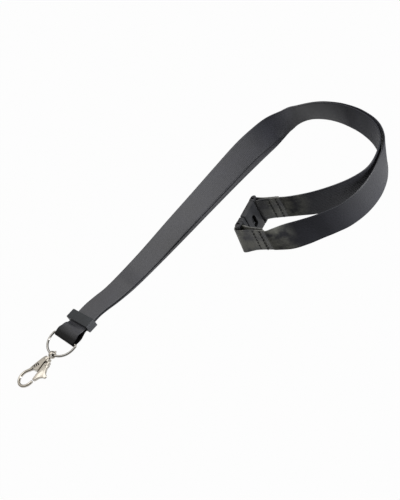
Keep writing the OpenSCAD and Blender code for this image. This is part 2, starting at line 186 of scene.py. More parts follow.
def new_material(name):
    """An empty material and its node tree."""
    made = bpy.data.materials.new(name)
    made.use_nodes = True
    made.node_tree.nodes.clear()
    return made, made.node_tree


def rgba(value):
    return [*value, 1]


def per_metre(millimetres):
    """Scale of a pattern whose spots have that size."""
    return 1 / (millimetres * MM)


def webbing_material(name, painted=False):
    """Woven polyester webbing: satin, fine diagonal ribs, uneven shade and a darker selvedge.

    Its shine changes along the strap, and it is scuffed pale in patches towards its sewn ends.
    Where it folds round the ring it is painted dark instead, as painted shade.
    """
    c = colours()
    light, dark, pale = rgba(c.webbing), rgba(c.webbing_dark), rgba(c.sewn_webbing)
    made, tree = new_material(name)
    uv = node(tree, "ShaderNodeUVMap", uv_map="strap")
    place = node(tree, "ShaderNodeSeparateXYZ", [uv])
    # Ribs of the weave
    turns = 2 * math.pi / sizes().thread_spacing
    along = node(tree, "ShaderNodeMath", [place.outputs["X"], turns], operation="MULTIPLY")
    across = node(tree, "ShaderNodeMath", [place.outputs["Y"], turns], operation="MULTIPLY")
    slant = node(tree, "ShaderNodeMath", [along, across], operation="ADD")
    twill = node(tree, "ShaderNodeMath", [slant], operation="SINE")
    rib = node(tree, "ShaderNodeMath", [across], operation="SINE")
    height = node(tree, "ShaderNodeMath", [twill, rib], operation="ADD")
    # Uneven shade
    patches = node(tree, "ShaderNodeTexNoise", {"Vector": uv, "Scale": per_metre(SHADE_PATCH), "Detail": 4})
    fuzz = node(tree, "ShaderNodeTexNoise", {"Vector": uv, "Scale": per_metre(FIBRE_FUZZ), "Detail": 3})
    worn = node(tree, "ShaderNodeMath", [patches, fuzz], operation="ADD")
    share = node(tree, "ShaderNodeMapRange", [worn, 0.65, 1.35])
    woven = node(tree, "ShaderNodeMix", [share, dark, light], data_type="RGBA")
    # Pale scuffs, where the mesh says that it is scuffed
    scuffed = node(tree, "ShaderNodeAttribute", attribute_name="scuffed")
    blots = node(tree, "ShaderNodeTexNoise", {"Vector": uv, "Scale": per_metre(SCUFF_PATCH), "Detail": 6})
    patchy = node(tree, "ShaderNodeMapRange", [blots, 0.37, 0.63, 0.05, 1])
    scuff = node(tree, "ShaderNodeMath", [scuffed.outputs["Fac"], patchy], operation="MULTIPLY")
    body = node(tree, "ShaderNodeMix", [scuff, woven, pale], data_type="RGBA")
    # Darker selvedge
    reach = node(tree, "ShaderNodeMath", [place.outputs["Y"]], operation="ABSOLUTE")
    half, selvedge = sizes().strap_width / 2, sizes().selvedge
    edge = node(tree, "ShaderNodeMapRange", [reach, half - selvedge, half - 0.4 * selvedge, 0, 0.3])
    whole = node(tree, "ShaderNodeMix", [edge, body, dark], data_type="RGBA")
    # Shine along the strap
    shine = SHINE
    # Painted shade on the fold round the ring: a darker colour and less shine
    if painted:
        wear_and_fold_shade = node(tree, "ShaderNodeMapRange", [place.outputs["X"], FOLD_SHADE_FROM * MM, FOLD_SHADE_FULL * MM])
        whole = node(tree, "ShaderNodeMix", [wear_and_fold_shade, whole, rgba(c.fold_shade_webbing)], data_type="RGBA")
        shine = node(tree, "ShaderNodeMapRange", [wear_and_fold_shade, 0, 1, SHINE, FOLD_SHADE_SHINE])
    else:
        for begin, end, change in SHINE_CHANGES:
            step = node(tree, "ShaderNodeMapRange", [place.outputs["X"], begin * MM, end * MM, 0, change])
            shine = node(tree, "ShaderNodeMath", [shine, step], operation="ADD")
    bump = node(tree, "ShaderNodeBump", {"Height": height, "Strength": 0.45, "Distance": 0.05 * MM})
    rough = node(tree, "ShaderNodeMapRange", [worn, 0.6, 1.4, 0.38, 0.46])
    shader = node(tree, "ShaderNodeBsdfPrincipled", {
        "Base Color": whole, "Roughness": rough, "Normal": bump, "Specular IOR Level": shine})
    node(tree, "ShaderNodeOutputMaterial", [shader])
    return made


def thread_material(name):
    """Twisted polyester sewing thread: matt, with the twist seen as a fine slant."""
    made, tree = new_material(name)
    place = node(tree, "ShaderNodeTexCoord").outputs["Object"]
    wave = node(tree, "ShaderNodeTexWave",
                {"Vector": place, "Scale": per_metre(THREAD_TWIST) / WAVE_BANDS, "Distortion": 2},
                wave_type="BANDS", bands_direction="DIAGONAL")
    twist = wave.outputs["Fac"]
    shade = node(tree, "ShaderNodeMix", [twist, rgba(colours().thread), rgba(colours().thread_light)],
                 data_type="RGBA")
    bump = node(tree, "ShaderNodeBump", {"Height": twist, "Strength": 0.4, "Distance": 0.05 * MM})
    shader = node(tree, "ShaderNodeBsdfPrincipled", {
        "Base Color": shade, "Roughness": 0.75, "Normal": bump})
    node(tree, "ShaderNodeOutputMaterial", [shader])
    return made


def moulded_material(name, base, roughness, ends=None):
    """Injection-moulded acetal: satin, with a faint spark-eroded grain and uneven gloss.

    The keeper's two ends are painted paler, as painted light on its end faces.
    """
    made, tree = new_material(name)
    place = node(tree, "ShaderNodeTexCoord").outputs["Object"]
    grain = node(tree, "ShaderNodeTexNoise", {
        "Vector": place, "Scale": per_metre(MOULD_GRAIN), "Detail": 2})
    flow = node(tree, "ShaderNodeTexNoise", {
        "Vector": place, "Scale": per_metre(MOULD_FLOW), "Detail": 4})
    share = node(tree, "ShaderNodeMapRange", [flow, *NOISE_SPAN])
    deep = [0.8 * c for c in base]
    pale = [min(1, 1.25 * c) for c in base]
    shade = node(tree, "ShaderNodeMix", [share, rgba(deep), rgba(pale)], data_type="RGBA")
    # Painted light: the keeper's two end faces paler than the rest
    if ends:
        spot = node(tree, "ShaderNodeSeparateXYZ", [place])
        reach = node(tree, "ShaderNodeMath", [spot.outputs["Y"]], operation="ABSOLUTE")
        end = node(tree, "ShaderNodeMapRange",
                   [reach, (KEEPER_HALF_W - LIT_END_DEPTH) * MM, KEEPER_HALF_W * MM])
        shade = node(tree, "ShaderNodeMix", [end, shade, rgba(ends)], data_type="RGBA")
    rough = node(tree, "ShaderNodeMapRange", [flow, *NOISE_SPAN, *roughness])
    bump = node(tree, "ShaderNodeBump", {"Height": grain, "Strength": 0.25, "Distance": 0.03 * MM})
    shader = node(tree, "ShaderNodeBsdfPrincipled", {
        "Base Color": shade, "Roughness": rough, "Normal": bump, "Specular IOR Level": 0.2})
    node(tree, "ShaderNodeOutputMaterial", [shader])
    return made


def metal_material(name, base, roughness):
    """Nickel plate, polished, on the ring's wire in a darker copy that is painted shade, and darkened as
    painted shade in the palm's grooves; and bare spring steel.

    The smoother it is, the clearer a mirror it gives, slightly cloudy and lightly scuffed.
    """
    made, tree = new_material(name)
    place = node(tree, "ShaderNodeTexCoord").outputs["Object"]
    cloud = node(tree, "ShaderNodeTexNoise", {
        "Vector": place, "Scale": per_metre(PLATE_CLOUD), "Detail": 5})
    share = node(tree, "ShaderNodeMapRange", [cloud, *NOISE_SPAN])
    deep = [0.82 * c for c in base]
    shade = node(tree, "ShaderNodeMix", [share, rgba(deep), rgba(base)], data_type="RGBA")
    rough = node(tree, "ShaderNodeMapRange", [cloud, *NOISE_SPAN, *roughness])
    bump = node(tree, "ShaderNodeBump", {"Height": cloud, "Strength": 0.08, "Distance": 0.1 * MM})
    shader = node(tree, "ShaderNodeBsdfPrincipled", {
        "Base Color": shade, "Metallic": 1, "Roughness": rough, "Normal": bump})
    node(tree, "ShaderNodeOutputMaterial", [shader])
    return made


def material(name):
    """The lanyard's material of that name, made at its first use."""
    c = colours()
    makers = {
        "woven_polyester_webbing": (webbing_material,),
        # The folded webbing carries painted shade at its fold round the ring
        "folded_polyester_webbing": (webbing_material, True),
        "sewing_thread_polyester": (thread_material,),
        # The keeper's paler ends are painted light
        "moulded_acetal_keeper": (moulded_material, c.keeper, (0.36, 0.48), c.keeper_lit_ends),
        "moulded_acetal_buckle": (moulded_material, c.buckle, (0.36, 0.5)),
        "polished_nickel_plate": (metal_material, c.nickel, (0.1, 0.2)),
        # A darker copy of the nickel: painted shade on the ring's wire
        "nickel_plated_wire": (metal_material, c.wire, (0.07, 0.14)),
        # Painted shade for the palm's grooves
        "tarnished_nickel": (metal_material, c.tarnish, (0.45, 0.6)),
        "bare_spring_steel": (metal_material, c.spring, (0.25, 0.4)),
    }
    if name in bpy.data.materials:
        return bpy.data.materials[name]
    maker, *settings = makers[name]
    return maker(name, *settings)


# Meshes

HARD_ANGLE = 35
SOFT_ANGLE = 60
# Turns that take one axis to another. The last stands a plate up, so that its heights become depths.
X_TO_Z = Matrix.Rotation(-math.pi / 2, 4, "Y")
Z_TO_X = Matrix.Rotation(math.pi / 2, 4, "Y")
X_TO_Y = Matrix.Rotation(math.pi / 2, 4, "Z")
Y_TO_Z = Matrix.Rotation(math.pi / 2, 4, "X")
# How far a cutter reaches past what it cuts, in millimetres
CUT_PAST = 1


def in_scene(name, data):
    """A new object of that data, in the scene."""
    obj = bpy.data.objects.new(name, data)
    bpy.context.scene.collection.objects.link(obj)
    return obj


def piece(name, mesh, finish, body, stands_for, sharp_degrees=HARD_ANGLE):
    """A finished object on a body, with its material and the CAD node it stands for."""
    mesh.shade_smooth()
    mesh.set_sharp_from_angle(angle=math.radians(sharp_degrees))
    mesh.materials.append(material(finish))
    obj = in_scene(name, mesh)
    if body:
        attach(obj, body)
    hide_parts(stands_for)
    return obj


def to_mesh(name, bm):
    """A mesh from a bmesh, with doubles merged and faces turned outwards."""
    bmesh.ops.remove_doubles(bm, verts=bm.verts, dist=1e-7)
    bmesh.ops.recalc_face_normals(bm, faces=bm.faces)
    mesh = bpy.data.meshes.new(name)
    bm.to_mesh(mesh)
    bm.free()
    return mesh


def joined(name, meshes):
    """One mesh out of several."""
    bm = bmesh.new()
    for mesh in meshes:
        bm.from_mesh(mesh)
        bpy.data.meshes.remove(mesh)
    made = bpy.data.meshes.new(name)
    bm.to_mesh(made)
    bm.free()
    return made


def moved(mesh, matrix):
    """The mesh moved and turned by a matrix."""
    mesh.transform(matrix)
    return mesh


def placed(mesh, matrix):
    """The mesh moved to its place in millimetres, then turned to metres."""
    return moved(mesh, Matrix.Scale(MM, 4) @ matrix)


def frame_of(spot, x_way, z_way):
    """Matrix of a frame at a spot, from the ways of its x and z axes."""
    x, z = Vector(x_way).normalized(), Vector(z_way).normalized()
    return Matrix.Translation(spot) @ Matrix((x, z.cross(x), z)).transposed().to_4x4()


def plate(outline, low, high, rim=0):
    """A flat plate of an outline in x and y, between two heights, with its rims rounded if asked."""
    bm = bmesh.new()
    face = bm.faces.new([bm.verts.new((x, y, low)) for x, y in outline])
    top = bmesh.ops.extrude_face_region(bm, geom=[face])["geom"]
    corners = [part for part in top if isinstance(part, bmesh.types.BMVert)]
    bmesh.ops.translate(bm, verts=corners, vec=(0, 0, high - low))
    bmesh.ops.recalc_face_normals(bm, faces=bm.faces)
    if rim:
        rims = [e for e in bm.edges if abs(e.verts[0].co.z - e.verts[1].co.z) < 1e-6]
        bmesh.ops.bevel(
            bm, geom=rims, offset=rim, segments=3, profile=0.5, affect="EDGES", clamp_overlap=True)
    return to_mesh("plate", bm)


def block(low, high, edge, segments=3):
    """A box between two corners with rounded edges."""
    bm = bmesh.new()
    bmesh.ops.create_cube(bm, size=1)
    for v in bm.verts:
        v.co = [low[i] if v.co[i] < 0 else high[i] for i in range(3)]
    bmesh.ops.bevel(bm, geom=bm.edges[:], offset=edge, segments=segments, profile=0.5, affect="EDGES")
    return to_mesh("block", bm)


def circle(sides):
    """Cosines and sines of equal steps round a circle."""
    angles = [2 * math.pi * k / sides for k in range(sides)]
    return [(math.cos(a), math.sin(a)) for a in angles]


def skin(bm, rings, closed=False):
    """Faces between rings of vertices, with flat ends unless the rings close. Gives the faces between."""
    made = []
    for low, high in zip(rings, rings[1:] + (rings[:1] if closed else [])):
        for k in range(len(low)):
            q = (k + 1) % len(low)
            made.append(bm.faces.new([low[k], low[q], high[q], high[k]]))
    if not closed:
        bm.faces.new(rings[0])
        bm.faces.new(rings[-1])
    return made


def turned(profile, sides):
    """A turned form: (distance along x, radius) pairs spun round the x axis."""
    bm = bmesh.new()
    skin(bm, [[bm.verts.new((x, r * c, r * s)) for c, s in circle(sides)] for x, r in profile])
    return to_mesh("turned", bm)


def tube(path, radii, sides=20, closed=False):
    """A round bar along a path in x and y, with flat ends unless it is closed."""
    bm = bmesh.new()
    spots = [Vector((x, y, 0)) for x, y in path]
    last = len(spots) - 1
    rings = []
    for i, (spot, r) in enumerate(zip(spots, radii)):
        before = spots[i - 1] if closed or i > 0 else spot
        after = spots[(i + 1) % len(spots)] if closed or i < last else spot
        way = (after - before).normalized()
        side = Vector((-way.y, way.x, 0))
        rings.append([bm.verts.new(spot + r * (c * side + s * UP)) for c, s in circle(sides)])
    skin(bm, rings, closed)
    return to_mesh("tube", bm)


def baked(*objects):
    """The first object's mesh with its modifiers applied and no slots yet. All the objects are removed."""
    bpy.context.view_layer.update()
    shown = objects[0].evaluated_get(bpy.context.evaluated_depsgraph_get())
    made = bpy.data.meshes.new_from_object(shown)
    made.materials.clear()
    objects[0].modifiers.clear()
    for obj in objects:
        data = obj.data
        bpy.data.objects.remove(obj)
        bpy.data.meshes.remove(data)
    return made


def carved(mesh, cutters):
    """The mesh with the cutters' shapes taken out of it."""
    body = in_scene("body", mesh)
    tool = in_scene("cutters", joined("cutters", cutters))
    cut = body.modifiers.new("cut", "BOOLEAN")
    cut.object = tool
    cut.operation = "DIFFERENCE"
    cut.solver = "EXACT"
    cut.use_self = True
    return baked(body, tool)


def arc(centre, radius, start, end, steps):
    """Points on an arc between two angles in degrees."""
    angles = [math.radians(start + (end - start) * k / steps) for k in range(steps + 1)]
    return [(centre[0] + radius * math.cos(a), centre[1] + radius * math.sin(a)) for a in angles]


def softened(outline, radius, steps=4):
    """The outline with its corners rounded off, by less than half of an edge."""
    made = []
    count = len(outline)
    for i in range(count):
        before, corner, after = (Vector(outline[k % count]) for k in (i - 1, i, i + 1))
        start, end = (corner + (other - corner).normalized() * min(radius, 0.45 * (other - corner).length)
                      for other in (before, after))
        for k in range(steps + 1):
            t = k / steps
            made.append(tuple((1 - t) ** 2 * start + 2 * t * (1 - t) * corner + t * t * end))
    return made


def smooth(points, steps):
    """Smooth curve through a list of points of any length."""
    last = len(points) - 1
    made = []
    for i in range(last):
        a, b, c, d = (points[max(0, min(last, i + k))] for k in (-1, 0, 1, 2))
        for k in range(steps):
            t = k / steps
            made.append([0.5 * (2 * q + (r - p) * t + (2 * p - 5 * q + 4 * r - s) * t * t
                                + (3 * q - p - 3 * r + s) * t * t * t) for p, q, r, s in zip(a, b, c, d)])
    made.append(list(points[last]))
    return made


# Row of bars, for stitches and ribs

def bar_row_tree():
    """Node tree: a row of rounded bars along z, each as long, wide and high as it is told."""
    name = "row_of_bars"
    if name in bpy.data.node_groups:
        return bpy.data.node_groups[name]
    tree = bpy.data.node_groups.new(name, "GeometryNodeTree")
    for label, kind in (("Count", "Int"), ("Spacing", "Float"), ("Bar length", "Float"),
                        ("Bar width", "Float"), ("Bar height", "Float"), ("Finish", "Material")):
        tree.interface.new_socket(label, in_out="INPUT", socket_type="NodeSocket" + kind)
    tree.interface.new_socket("Geometry", in_out="OUTPUT", socket_type="NodeSocketGeometry")
    given = node(tree, "NodeGroupInput").outputs
    step = node(tree, "ShaderNodeCombineXYZ", {"Z": given["Spacing"]})
    row = node(tree, "GeometryNodeMeshLine", {"Count": given["Count"], "Offset": step})
    bar = node(tree, "GeometryNodeMeshUVSphere", {"Segments": 12, "Rings": 8, "Radius": 0.5})
    shape = node(tree, "ShaderNodeCombineXYZ", {
        "X": given["Bar width"], "Y": given["Bar height"], "Z": given["Bar length"]})
    sized = node(tree, "GeometryNodeTransform", {"Geometry": bar, "Scale": shape})
    copies = node(tree, "GeometryNodeInstanceOnPoints", {"Points": row, "Instance": sized})
    solid = node(tree, "GeometryNodeRealizeInstances", {"Geometry": copies})
    finish = node(tree, "GeometryNodeSetMaterial", {"Geometry": solid, "Material": given["Finish"]})
    node(tree, "NodeGroupOutput", [finish])
    return tree


def bar_row(count, spacing, bar_length, bar_width, bar_height, finish):
    """A plain mesh of a row of bars, sizes in millimetres."""
    maker = in_scene("row_maker", bpy.data.meshes.new("row_maker"))
    modifier = maker.modifiers.new("row", "NODES")
    modifier.node_group = bar_row_tree()
    values = {"Count": count, "Spacing": spacing, "Bar length": bar_length, "Bar width": bar_width,
              "Bar height": bar_height, "Finish": material(finish)}
    for item in modifier.node_group.interface.items_tree:
        if item.in_out == "INPUT":
            modifier[item.identifier] = values[item.name]
    return baked(maker)


# Places of the fittings in millimetres, from the frame's joints

RING_BAR = Vector(JOINTS["ring_swing"]["pos_m"]) / MM
BAR_WAY = Vector(JOINTS["ring_swing"]["axis"])
EYE_ON_WIRE = Vector(JOINTS["eye_swing"]["pos_m"]) / MM
EYE_AT = Vector(JOINTS["hook_turn"]["pos_m"]) / MM
HOOK = frame_of(EYE_AT, JOINTS["hook_turn"]["axis"], -Vector(JOINTS["lever_open"]["axis"]))
# Foot of the buckle's shown face, at the socket's strap end
BUCKLE_AT = (132.8, -72.6, 0)
BUCKLE = frame_of(BUCKLE_AT, JOINTS["buckle_release"]["axis"], UP)

# Buckle's thickness, where the plug ends along the buckle's axis, and how far the bars stand off both ends
BUCKLE_T = 4.2
SHOULDER_END = 19.9
BAR_REACH = 3.3

# Sewn ends, along x from their bars: the strap's heading in degrees, and how far its shown layer is set off
SOCKET_LEG = -63
PLUG_LEG = -74
LAYER_OFF = 0.6
SOCKET_RUN_FROM = 20.1
PLUG_RUN_FROM = 20.3


def sewn_end(bar_x, leg):
    """Frame of a sewn end: its origin under a buckle's bar, x along the strap that leaves it."""
    heading = math.radians(leg)
    bar = BUCKLE @ Vector((bar_x, -BUCKLE_T / 2, 0))
    return frame_of(bar, (math.cos(heading), math.sin(heading), 0), UP)


SOCKET_END = sewn_end(-BAR_REACH, SOCKET_LEG)
PLUG_END = sewn_end(SHOULDER_END + BAR_REACH, PLUG_LEG)


# Strap routes in millimetres, as the strap lies: the lower edge's x, y and height over the table,
# and the strap's lean, 0 lying flat and 90 standing on its edge

TABLE_GAP = 0.06
# Thickness of the strap's solids, which the routes' heights are measured with
SOLID_T = 1.0
# Heights of the strap's middle in the keeper, and of its lower edge there and at the sewn ends
UPPER_Z = 3.2
LOWER_Z = 1.8
UPPER_FOOT = UPPER_Z - SOLID_T / 2 - TABLE_GAP
LOWER_FOOT = LOWER_Z - SOLID_T / 2 - TABLE_GAP
SOCKET_FOOT = 1.94
PLUG_FOOT = 0.6
ROUTE_STEPS = 14


def route_end(sewn, run_from, distances, foot):
    """Last points of a route, standing on edge, on a sewn end's own line."""
    spots = [sewn @ Vector((run_from + d, -LAYER_OFF, 0)) for d in distances]
    return [(spot.x, spot.y, foot, 90) for spot in spots]


UPPER_ROUTE = [
    (0.1, -10, UPPER_FOOT, 0), (6, -10, UPPER_FOOT, 0), (11, -10.15, 2.62, 0), (17, -11.1, 2.45, 0),
    (28, -13.3, 1.9, 1), (44, -15.2, 1.35, 5), (70, -16.7, 1.2, 10), (100, -17.3, 1.6, 15.5),
    (130, -18.2, 1.9, 22), (158, -19.2, 2.6, 29.5), (182, -20.6, 3.3, 38.5), (202, -23.9, 3, 53),
    (216, -25.8, 1.6, 80), (227, -27.2, 1, 100), (234, -34, 1, 104), (237.4, -45, 1, 98),
    (238.2, -57, 1, 91), (236.8, -70, 1, 83), (233.2, -86, 1, 76), (226.3, -103, 1, 71),
    (216, -117.6, 1, 74), (203.5, -128.3, 1, 85), (190.5, -132.2, 1, 91), (178, -128.3, 1, 94),
    (166.5, -119.7, 1, 95), (155.5, -108.2, 1.2, 95),
] + route_end(SOCKET_END, SOCKET_RUN_FROM, (9, 0), SOCKET_FOOT)
LOWER_ROUTE = [
    (0.1, -10, LOWER_FOOT, 0), (6, -10, LOWER_FOOT, 0), (11, -10.15, LOWER_FOOT, 0), (17, -11.2, 1.05, 0),
    (28, -13.8, 0.6, 1), (44, -16.3, 0.25, 5), (70, -17.9, 0, 10), (100, -19.2, 0, 15.5),
    (130, -20.3, 0, 22), (158, -21.6, 0, 29.5), (182, -23.2, 0, 38.5), (202, -24.8, 0, 53),
    (217, -24.2, 0, 80), (228.3, -25.2, 0, 100), (236, -33, 0, 104), (239.6, -45, 0, 98),
    (240.3, -57, 0, 91), (239, -71, 0, 83), (235.3, -88, 0, 76), (228, -106, 0, 72),
    (217, -121.5, 0, 76.5), (204, -132.5, 0, 89), (191, -138.8, 0, 95), (179, -141.2, 0, 97),
    (167, -140.7, 0, 97), (155, -137, 0, 96), (146, -131.2, 0, 97), (138, -125, 0, 99),
    (129.2, -118.3, 0, 106), (121.3, -110.2, 0.1, 108),
] + route_end(PLUG_END, PLUG_RUN_FROM, (3, 0), PLUG_FOOT)
# Point of the lower route at which the run is cut, the rest making the tail
TAIL_FROM = 22
# A run is scuffed over this length before its sewn end, and fully over the last of it
SCUFF_L = 22
SCUFF_FULL_L = 8


def standing(route):
    """Stations of the strap along a route: its middle, and the way across it."""
    points = smooth(route, ROUTE_STEPS)
    half = sizes().strap_width / MM / 2
    last = len(points) - 1
    stations = []
    for i, (x, y, z, lean) in enumerate(points):
        after, before = points[min(last, i + 1)], points[max(0, i - 1)]
        heading = Vector((after[0] - before[0], after[1] - before[1], 0)).normalized()
        c, s = math.cos(math.radians(lean)), math.sin(math.radians(lean))
        across = Vector((-heading.y * c, heading.x * c, s))
        foot = Vector((x, y, z + TABLE_GAP + SOLID_T / 2 * abs(c)))
        stations.append((foot + half * across, across))
    return stations


def section(width, thickness, selvedge):
    """Outline of the webbing: across and out, a little thicker along both edges and round at the rim."""
    columns, thickening, thick_reach, rim_share, rim_inset = 16, 0.16, 1.6, 0.7, 0.08
    half = width / 2
    flat_half = half - selvedge / 3
    side = []
    for k in range(columns + 1):
        a = -flat_half + 2 * flat_half * k / columns
        near_edge = max(0, 1 - (half - abs(a)) / (thick_reach * selvedge))
        side.append((a, thickness / 2 * (1 + thickening * min(1, 2 * near_edge))))
    bulge = rim_share * thickness / 2
    shoulder = half - rim_inset * selvedge
    half_outline = side + [(shoulder, bulge), (half, 0), (shoulder, -bulge)]
    back = [(a, -o) for a, o in reversed(side)]
    return half_outline + back + [(-shoulder, -bulge), (-half, 0), (-shoulder, bulge)]


def ribbon(stations, begin=0, end=None, start_length=0, scuffed=None):
    """Webbing swept along stations in millimetres, with its own map of length and width in metres.

    It can be told how scuffed it is at each station. Gives the mesh, its path in metres and the length
    that it ends at.
    """
    outline = section(sizes().strap_width / MM, sizes().strap_thickness / MM, sizes().selvedge / MM)
    last = len(stations) - 1
    end = last if end is None else end
    bm = bmesh.new()
    layer = bm.loops.layers.uv.new("strap")
    wear_and_fold_shade = bm.verts.layers.float.new("scuffed")
    rings, run, map_of = [], start_length, {}
    for i in range(begin, end + 1):
        middle, across = stations[i]
        way = (stations[min(last, i + 1)][0] - stations[max(0, i - 1)][0]).normalized()
        out = way.cross(across).normalized()
        if i > begin:
            run += (middle - stations[i - 1][0]).length
        ring = [bm.verts.new((middle + a * across + o * out) * MM) for a, o in outline]
        for vert, (a, _) in zip(ring, outline):
            vert[wear_and_fold_shade] = scuffed[i] if scuffed else 0
            map_of[vert] = (run * MM, a * MM)
        rings.append(ring)
    for face in skin(bm, rings):
        for loop in face.loops:
            loop[layer].uv = map_of[loop.vert]
    bmesh.ops.recalc_face_normals(bm, faces=bm.faces)
    mesh = bpy.data.meshes.new("ribbon")
    bm.to_mesh(mesh)
    bm.free()
    path = [stations[i][0] * MM for i in range(begin, end + 1)]
    return mesh, path, run


def scuffed_end(stations):
    """How scuffed a run is at each station: fully next to its sewn end, and fading out before it."""
    left, made = 0, []
    for i in range(len(stations) - 1, -1, -1):
        made.append(max(0, min(1, (SCUFF_L - left) / (SCUFF_L - SCUFF_FULL_L))))
        left += (stations[i][0] - stations[i - 1][0]).length if i else 0
    return made[::-1]


def strap_run(name, swept, stands_for):
    """A run of the strap. Gives its length in millimetres."""
    mesh, path, run = swept
    strap = piece(name, mesh, "woven_polyester_webbing", "strap", stands_for, SOFT_ANGLE)
    return run


class LANYARD_OT_strap(bpy.types.Operator):
    """Make the two runs of the strap and its loop round the D ring"""
    bl_idname = "lanyard.strap"
    bl_label = "Strap"

    def execute(self, context):
        upper, lower = standing(UPPER_ROUTE), standing(LOWER_ROUTE)
        cut = TAIL_FROM * ROUTE_STEPS
        strap_run("strap_upper", ribbon(upper, scuffed=scuffed_end(upper)), "strap_upper_run")
        run = strap_run("strap_lower", ribbon(lower, 0, cut), "strap_lower_run")
        mesh, _, _ = ribbon(lower, cut, None, run, scuffed_end(lower))
        tail = piece("strap_lower_tail", mesh, "woven_polyester_webbing", None,
                     "strap_lower_run", SOFT_ANGLE)
        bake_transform(tail)
        piece("strap_ring_loop_webbing", ring_loop(), "folded_polyester_webbing", "strap",
              "strap_ring_loop", SOFT_ANGLE)
        return {"FINISHED"}


# Fold round the ring's bar: its radius in millimetres and its points in degrees
FOLD_R = 1.5
FOLD_ANGLES = range(110, 271, 32)
# Share of the bar's tilt that the strap has taken up half way to it
PART_TILT = 0.4
LOOP_STEPS = 8


def ring_loop():
    """The strap's loop round the bar of the D ring, from the keeper and back."""
    tilt = math.atan2(BAR_WAY.z, BAR_WAY.y)
    along, flat = Vector((1, 0, 0)), Vector((0, 1, 0))
    part = Vector((0, math.cos(PART_TILT * tilt), math.sin(PART_TILT * tilt)))
    knots = [((0, 0, UPPER_Z), flat), ((-4, 0, 3.35), flat), ((-6, 0, 3.75), flat),
             ((-8.4, -0.2, 4.9), part), ((-11.4, -0.6, 5.85), part), ((-14.5, -1, 6.1), BAR_WAY)]
    for degrees in FOLD_ANGLES:
        a = math.radians(degrees)
        out = math.cos(a) * along + math.sin(a) * along.cross(BAR_WAY)
        knots.append((RING_BAR + FOLD_R * out, BAR_WAY))
    knots += [((-12.1, -1.2, 1.6), part), ((-6, 0, LOWER_Z), flat), ((0, 0, LOWER_Z), flat)]
    rows = smooth([[*p, *a] for p, a in knots], LOOP_STEPS)
    mesh, _, _ = ribbon([(Vector(r[:3]), Vector(r[3:]).normalized()) for r in rows])
    return mesh


# Sewn ends, in millimetres

STITCH_START = 11
STITCH_SPACING = 5.5
# Share of its room that a stitch fills, and its width and how far out it sits in thread thicknesses
STITCH_FILL = 0.84
STITCH_WIDTH = 1.5
STITCH_OUT = 0.1
# Length on the webbing's own map at which the sewn ends begin, clear of the changes of shine
SEWN_FROM = 140
FOLD_STEPS = 6

# Each fold round its bar, in the sewn end's frame: the top edge's x and y, the lower edge's x and y,
# and the lower edge's height. The plug's fold is loose, and hangs out towards its lower edge.
SOCKET_FOLD = [(x, y, x, y, 2) for x, y in (
    (20, -0.6), (14, -0.6), (8, -0.6), (4, -1.1), (1, -1.7), (-0.9, -1.7), (-1.9, -0.5),
    (-1.9, 0.5), (-0.9, 1.7), (1, 1.7), (4, 1.1), (8, 0.6), (14, 0.4), (19, 0.3))]
PLUG_FOLD = [
    (20.3, -0.6, 20.3, -0.6, 0.66), (14, -0.8, 14, -1.2, 0.6), (8, -0.9, 8, -2, 0.5),
    (4, -1.4, 4, -3.3, 0.4), (0.5, -2, 1, -4.6, 0.35), (-2.2, -1.9, -1.5, -5.2, 0.35),
    (-3.8, -0.9, -3, -4.3, 0.5), (-3.6, 0.7, -3.2, -2.2, 1.4), (-1.6, 1.9, -2.2, 0.4, 2),
    (1, 1.9, 0.6, 1.7, 2), (4, 1.3, 4, 1.3, 2), (8, 0.6, 8, 0.5, 2), (14, 0.5, 14, 0.1, 1.6),
    (19, 0.6, 19, 0.5, 1.2),
]
# How scuffed each fold is at its bar. At the stitches both are scuffed fully.
SOCKET_WEAR = 0.2
PLUG_WEAR = 1


def sewn_webbing(sewn, fold, bar_wear):
    """The strap folded round a buckle's bar, its tail laid against it, scuffed most at the stitches."""
    width = sizes().strap_width / MM
    stations, wear_and_fold_shade = [], []
    for top_x, top_y, low_x, low_y, foot in smooth(fold, FOLD_STEPS):
        low = Vector((low_x, low_y, foot))
        across = sewn.to_3x3() @ (Vector((top_x, top_y, foot + width)) - low).normalized()
        stations.append((sewn @ low + width / 2 * across, across))
        wear_and_fold_shade.append(bar_wear + (1 - bar_wear) * max(0, min(1, low_x / STITCH_START)))
    mesh, _, _ = ribbon(stations, start_length=SEWN_FROM, scuffed=wear_and_fold_shade)
    return mesh


def stitch_rows(sewn, fold):
    """Two rows of stitches across a sewn end, on both of its faces."""
    count = sizes().stitch_count
    width = sizes().strap_width / MM
    pitch = width / count
    thick = sizes().thread_thickness / MM
    rows = []
    for start in (STITCH_START, STITCH_START + STITCH_SPACING):
        for side, knot in ((-1, 1), (1, -2)):
            _, top_y, _, low_y, foot = fold[knot]
            row = bar_row(count, pitch, STITCH_FILL * pitch, STITCH_WIDTH * thick, thick,
                          "sewing_thread_polyester")
            lean = Matrix.Identity(4)
            lean[1][2] = (top_y - low_y) / width
            out = side * (SOLID_T / 2 + STITCH_OUT * thick)
            spot = Matrix.Translation((start, low_y + out, foot + pitch / 2))
            rows.append(placed(row, sewn @ spot @ lean))
    return joined("stitches", rows)


class LANYARD_OT_sewn_ends(bpy.types.Operator):
    """Make the two sewn ends of the strap with their stitching"""
    bl_idname = "lanyard.sewn_ends"
    bl_label = "Sewn ends"

    def execute(self, context):
        for half, sewn, body, fold, wear_and_fold_shade in (
                ("socket", SOCKET_END, "strap", SOCKET_FOLD, SOCKET_WEAR),
                ("plug", PLUG_END, "buckle_plug", PLUG_FOLD, PLUG_WEAR)):
            piece("sewn_end_" + half, sewn_webbing(sewn, fold, wear_and_fold_shade), "woven_polyester_webbing", body,
                  "strap_end_" + half, SOFT_ANGLE)
            piece("stitches_" + half, stitch_rows(sewn, fold), "sewing_thread_polyester", body,
                  "stitching_" + half)
        return {"FINISHED"}


# Keeper, in millimetres

